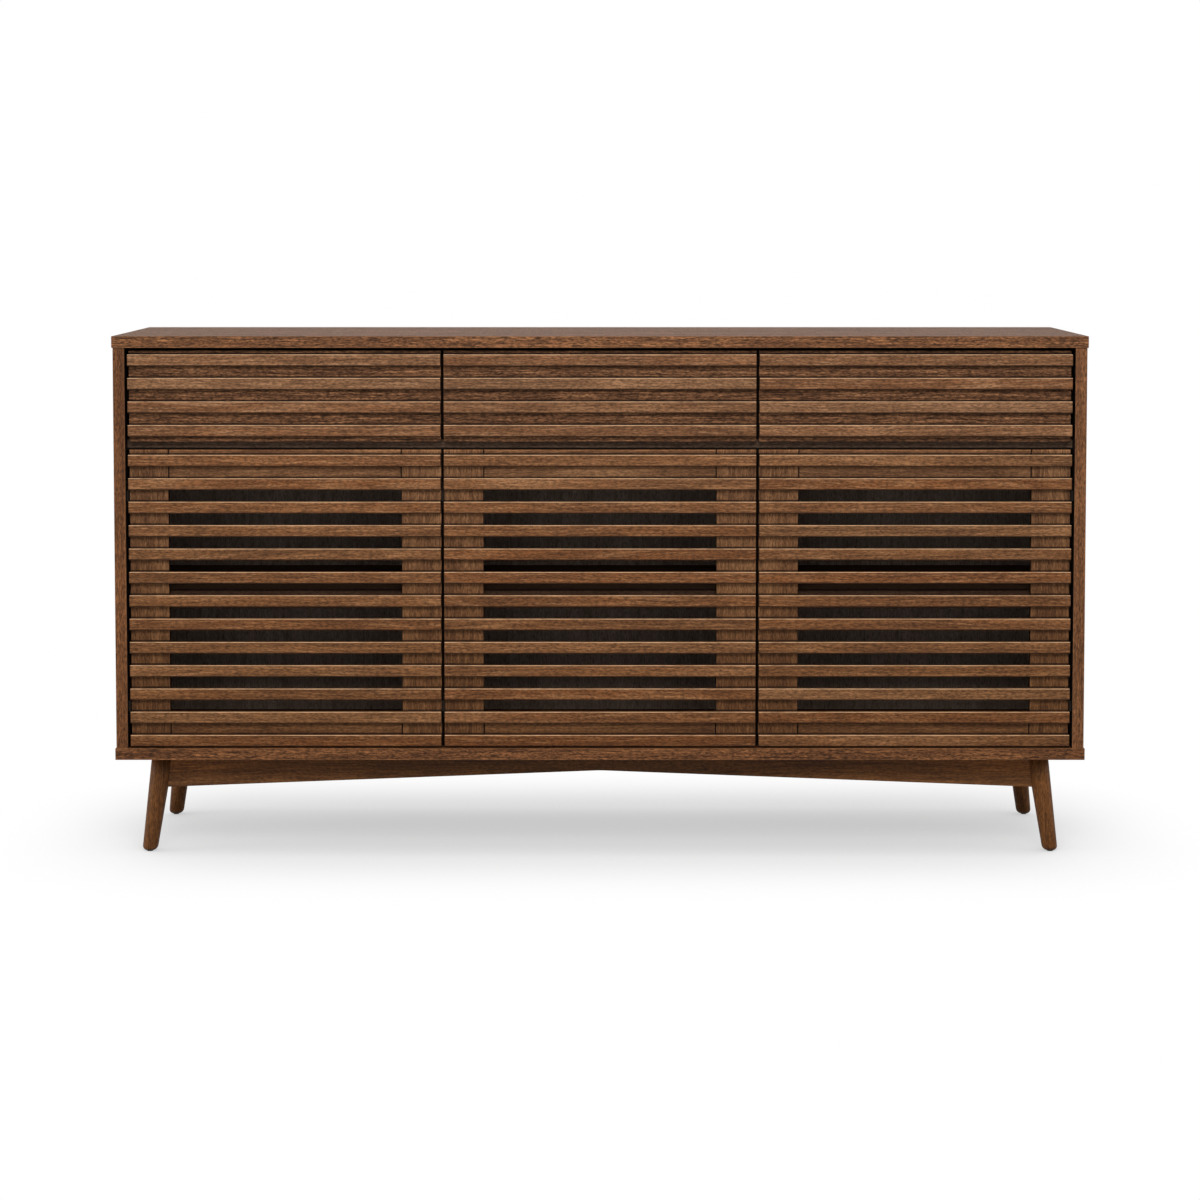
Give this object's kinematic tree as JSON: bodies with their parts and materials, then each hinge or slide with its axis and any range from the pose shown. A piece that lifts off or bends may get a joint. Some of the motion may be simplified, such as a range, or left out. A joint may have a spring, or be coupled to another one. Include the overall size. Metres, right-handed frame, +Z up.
{
  "type": "sideboard",
  "caption": "Long low walnut sideboard on splayed legs, with sliding slatted drawers above hinged slatted doors and shelves behind them.",
  "frame": {"origin": "middle of the footprint on the floor", "axes": "+X along the front to the viewer's right, -Y out of the front, +Z up"},
  "size_m": [1.5, 0.4, 0.808],
  "materials": {
    "walnut_panel": "satin",
    "walnut_slat": "satin",
    "walnut_frame": "satin",
    "walnut_base": "satin",
    "back_board": "matte",
    "drawer_box": "matte",
    "beech": "matte",
    "black_nylon": "matte",
    "zinc_steel": "satin",
    "black_steel": "satin"
  },
  "bodies": {
    "carcass": {"top_panel": "walnut_panel", "bottom_panel": "walnut_panel", "left_side_panel": "walnut_panel", "right_side_panel": "walnut_panel", "left_divider": "walnut_panel", "right_divider": "walnut_panel", "drawer_rail": "walnut_panel", "back_panel": "back_board", "left_shelf": "walnut_panel", "centre_shelf": "walnut_panel", "right_shelf": "walnut_panel", "shelf_pins": "zinc_steel", "dowels": "beech", "front_apron": "walnut_base", "rear_apron": "walnut_base", "end_rails": "walnut_base", "front_left_leg": "walnut_base", "front_right_leg": "walnut_base", "rear_left_leg": "walnut_base", "rear_right_leg": "walnut_base", "foot_glides": "black_nylon", "corner_blocks": "beech", "base_screws": "zinc_steel", "cabinet_runners": "black_steel", "hinge_carcass_leaves": "black_steel", "hinge_pins": "black_steel", "magnetic_catches": "black_nylon"},
    "left_drawer": {"left_drawer_front": "walnut_frame", "left_drawer_slats": "walnut_slat", "left_drawer_sides": "drawer_box", "left_drawer_back": "drawer_box", "left_drawer_bottom": "drawer_box", "left_drawer_runners": "black_steel"},
    "centre_drawer": {"centre_drawer_front": "walnut_frame", "centre_drawer_slats": "walnut_slat", "centre_drawer_sides": "drawer_box", "centre_drawer_back": "drawer_box", "centre_drawer_bottom": "drawer_box", "centre_drawer_runners": "black_steel"},
    "right_drawer": {"right_drawer_front": "walnut_frame", "right_drawer_slats": "walnut_slat", "right_drawer_sides": "drawer_box", "right_drawer_back": "drawer_box", "right_drawer_bottom": "drawer_box", "right_drawer_runners": "black_steel"},
    "left_door": {"left_door_stiles": "walnut_frame", "left_door_rails": "walnut_frame", "left_door_slats": "walnut_slat", "left_door_hinge_leaves": "black_steel", "left_door_strike_plate": "zinc_steel"},
    "centre_door": {"centre_door_stiles": "walnut_frame", "centre_door_rails": "walnut_frame", "centre_door_slats": "walnut_slat", "centre_door_hinge_leaves": "black_steel", "centre_door_strike_plate": "zinc_steel"},
    "right_door": {"right_door_stiles": "walnut_frame", "right_door_rails": "walnut_frame", "right_door_slats": "walnut_slat", "right_door_hinge_leaves": "black_steel", "right_door_strike_plate": "zinc_steel"}
  },
  "joints": [
    {"name": "left_drawer_slide", "type": "slide", "parent": "carcass", "child": "left_drawer", "axis": [0, -1, 0], "range_m": [0, 0.25]},
    {"name": "centre_drawer_slide", "type": "slide", "parent": "carcass", "child": "centre_drawer", "axis": [0, -1, 0], "range_m": [0, 0.25]},
    {"name": "right_drawer_slide", "type": "slide", "parent": "carcass", "child": "right_drawer", "axis": [0, -1, 0], "range_m": [0, 0.25]},
    {"name": "left_door_hinge", "type": "hinge", "parent": "carcass", "child": "left_door", "pos_m": [-0.7279, -0.1935, 0.40225], "axis": [0, 0, -1], "range_deg": [0, 95]},
    {"name": "centre_door_hinge", "type": "hinge", "parent": "carcass", "child": "centre_door", "pos_m": [-0.24207, -0.1935, 0.40225], "axis": [0, 0, -1], "range_deg": [0, 95]},
    {"name": "right_door_hinge", "type": "hinge", "parent": "carcass", "child": "right_door", "pos_m": [0.7279, -0.1935, 0.40225], "axis": [0, 0, 1], "range_deg": [0, 95]}
  ]
}
